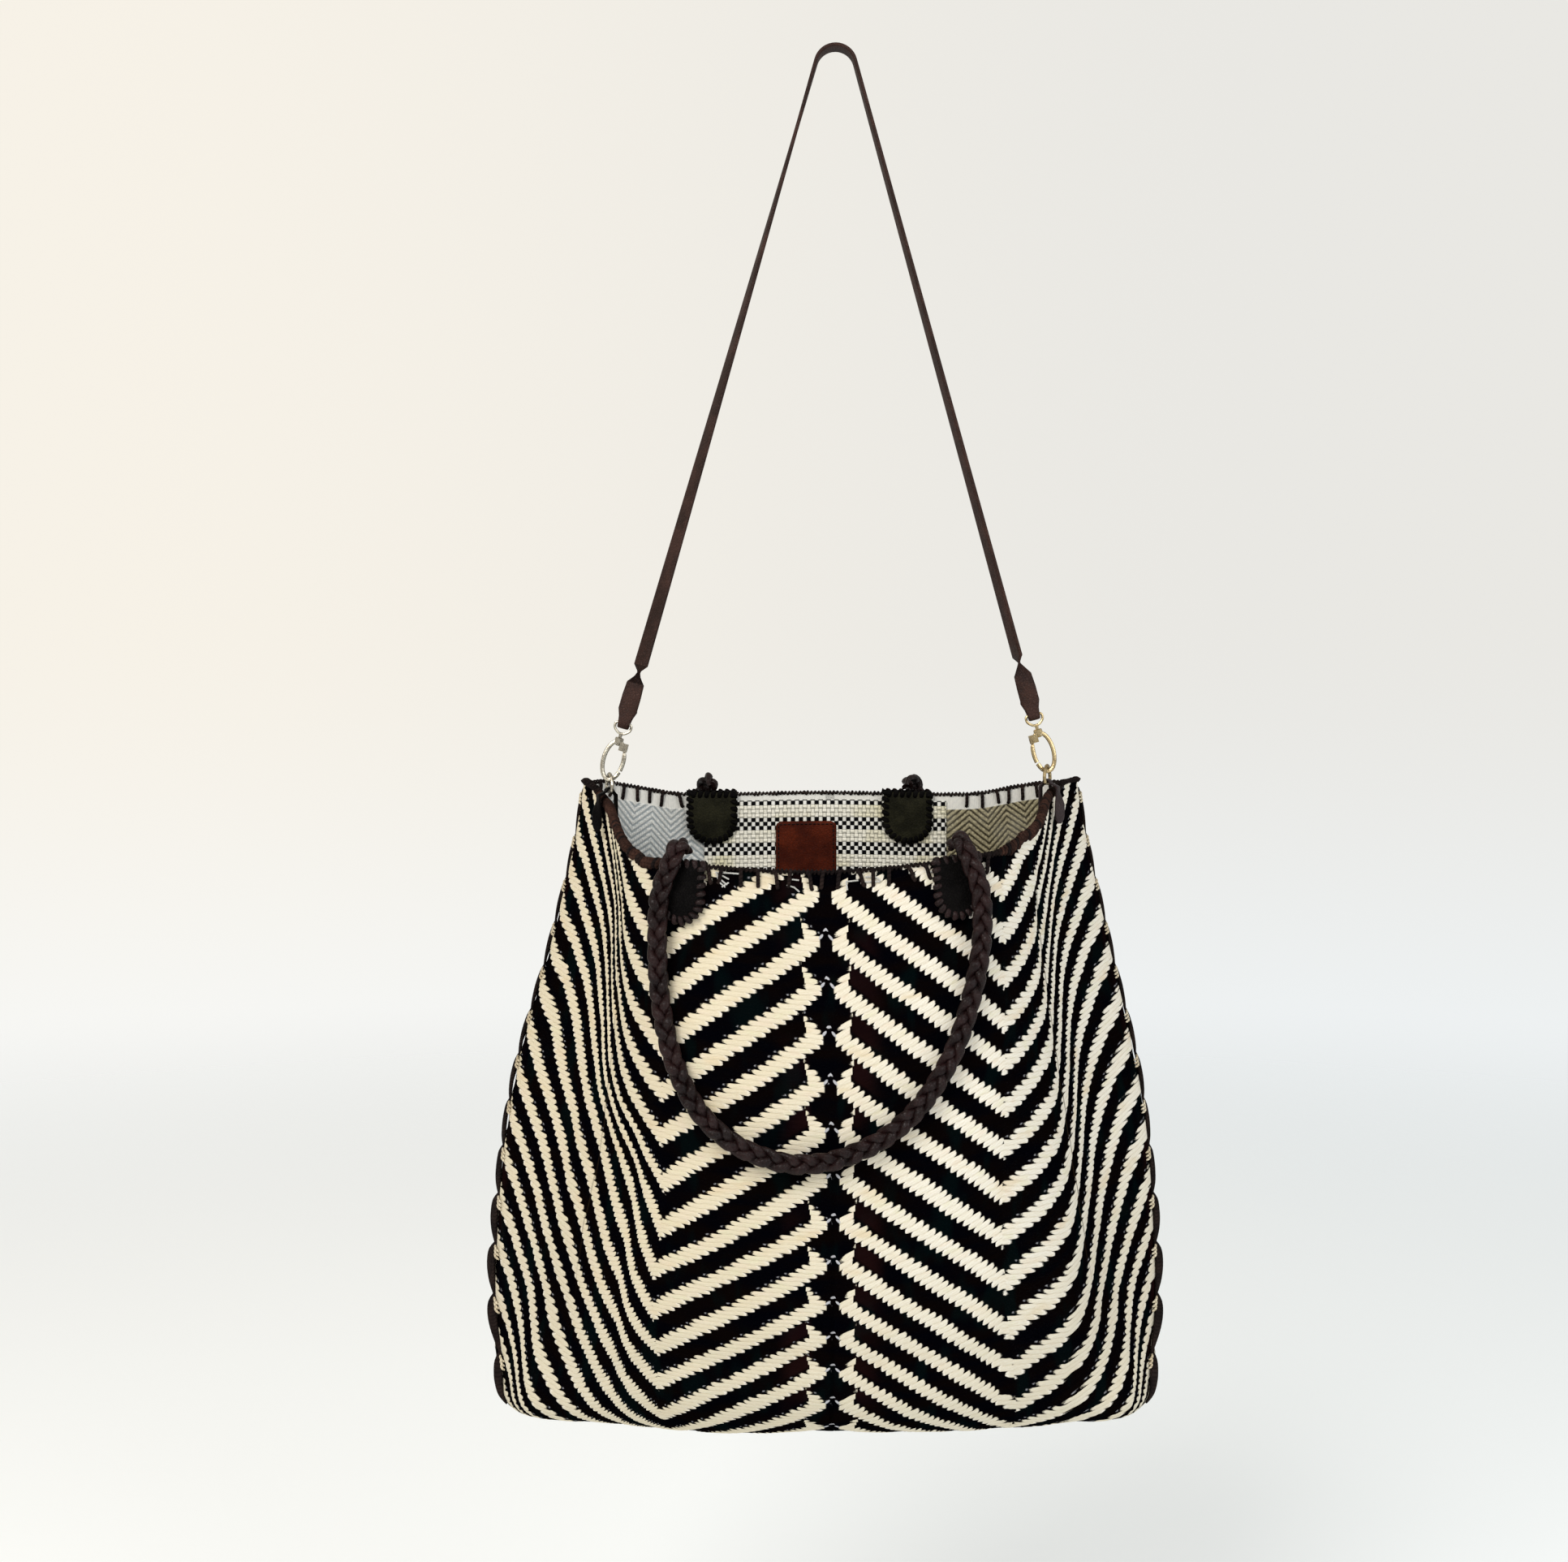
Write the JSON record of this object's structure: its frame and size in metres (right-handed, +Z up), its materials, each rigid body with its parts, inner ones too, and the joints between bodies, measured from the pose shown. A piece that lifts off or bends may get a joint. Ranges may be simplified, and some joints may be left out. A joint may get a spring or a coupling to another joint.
{
  "type": "woven tote bag",
  "caption": "Open woven tote bag with braided leather handles, hanging by a leather shoulder strap clipped to rings at its sides.",
  "frame": {"origin": "middle of the strap's bend, on the inner face that bears on the peg", "axes": "+Z up along the hanging bag, +X to the bag's right as seen from its front, -Y out of the front wall"},
  "size_m": [0.4725, 0.2459, 0.9251],
  "materials": {
    "wool": "matte",
    "lining": "matte",
    "pocket": "matte",
    "yarn": "matte",
    "leather": "satin",
    "label": "satin",
    "metal": "satin"
  },
  "bodies": {
    "root": {"woven_shell": "wool", "lining": "lining", "inner_pocket": "pocket", "label_patch": "label", "rim_edging": "yarn", "side_seam_right": "yarn", "side_seam_left": "yarn", "shoulder_strap": "leather", "tongue_outer_front_right": "leather", "tongue_inner_front_right": "leather", "tongue_outer_front_left": "leather", "tongue_inner_front_left": "leather", "tongue_outer_rear_right": "leather", "tongue_inner_rear_right": "leather", "tongue_outer_rear_left": "leather", "tongue_inner_rear_left": "leather", "swivel_eye_right": "metal", "ring_tab_right": "leather", "swivel_eye_left": "metal", "ring_tab_left": "leather"},
    "front_handle": {"front_handle": "leather"},
    "rear_handle": {"rear_handle": "leather"},
    "clip_right": {"clip_body_right": "metal", "gate_pin_right": "metal"},
    "gate_right": {"gate_right": "metal"},
    "ring_right": {"ring_right": "metal"},
    "clip_left": {"clip_body_left": "metal", "gate_pin_left": "metal"},
    "gate_left": {"gate_left": "metal"},
    "ring_left": {"ring_left": "metal"}
  },
  "joints": [
    {"name": "front_handle_swing", "type": "hinge", "parent": "root", "child": "front_handle", "pos_m": [-0.013, -0.08904, -0.54048], "axis": [-0.9997, 0.0147, -0.019], "range_deg": [0, 140]},
    {"name": "rear_handle_swing", "type": "hinge", "parent": "root", "child": "rear_handle", "pos_m": [-0.016, 0.0835, -0.49921], "axis": [1, 0, 0.0018], "range_deg": [0, 140]},
    {"name": "clip_right_swivel", "type": "hinge", "parent": "root", "child": "clip_right", "pos_m": [0.13572, 0, -0.45663], "axis": [0.2637, 0, -0.9646], "range_deg": [-5, 15]},
    {"name": "gate_right_opens", "type": "hinge", "parent": "clip_right", "child": "gate_right", "pos_m": [0.13442, 0, -0.47073], "axis": [0, 1, 0], "range_deg": [0, 30], "stiffness_Nm_per_rad": 0.02},
    {"name": "ring_right_swing", "type": "hinge", "parent": "root", "child": "ring_right", "pos_m": [0.14414, 0, -0.4994], "axis": [0.366, 0.9306, 0], "range_deg": [-4, 4]},
    {"name": "clip_left_swivel", "type": "hinge", "parent": "root", "child": "clip_left", "pos_m": [-0.14492, 0, -0.46244], "axis": [-0.2787, 0, -0.9604], "range_deg": [-15, 5]},
    {"name": "gate_left_opens", "type": "hinge", "parent": "clip_left", "child": "gate_left", "pos_m": [-0.14384, 0, -0.47656], "axis": [0, -1, 0], "range_deg": [0, 30], "stiffness_Nm_per_rad": 0.02},
    {"name": "ring_left_swing", "type": "hinge", "parent": "root", "child": "ring_left", "pos_m": [-0.15381, 0, -0.50508], "axis": [0.3212, -0.947, 0], "range_deg": [-4, 4]}
  ]
}
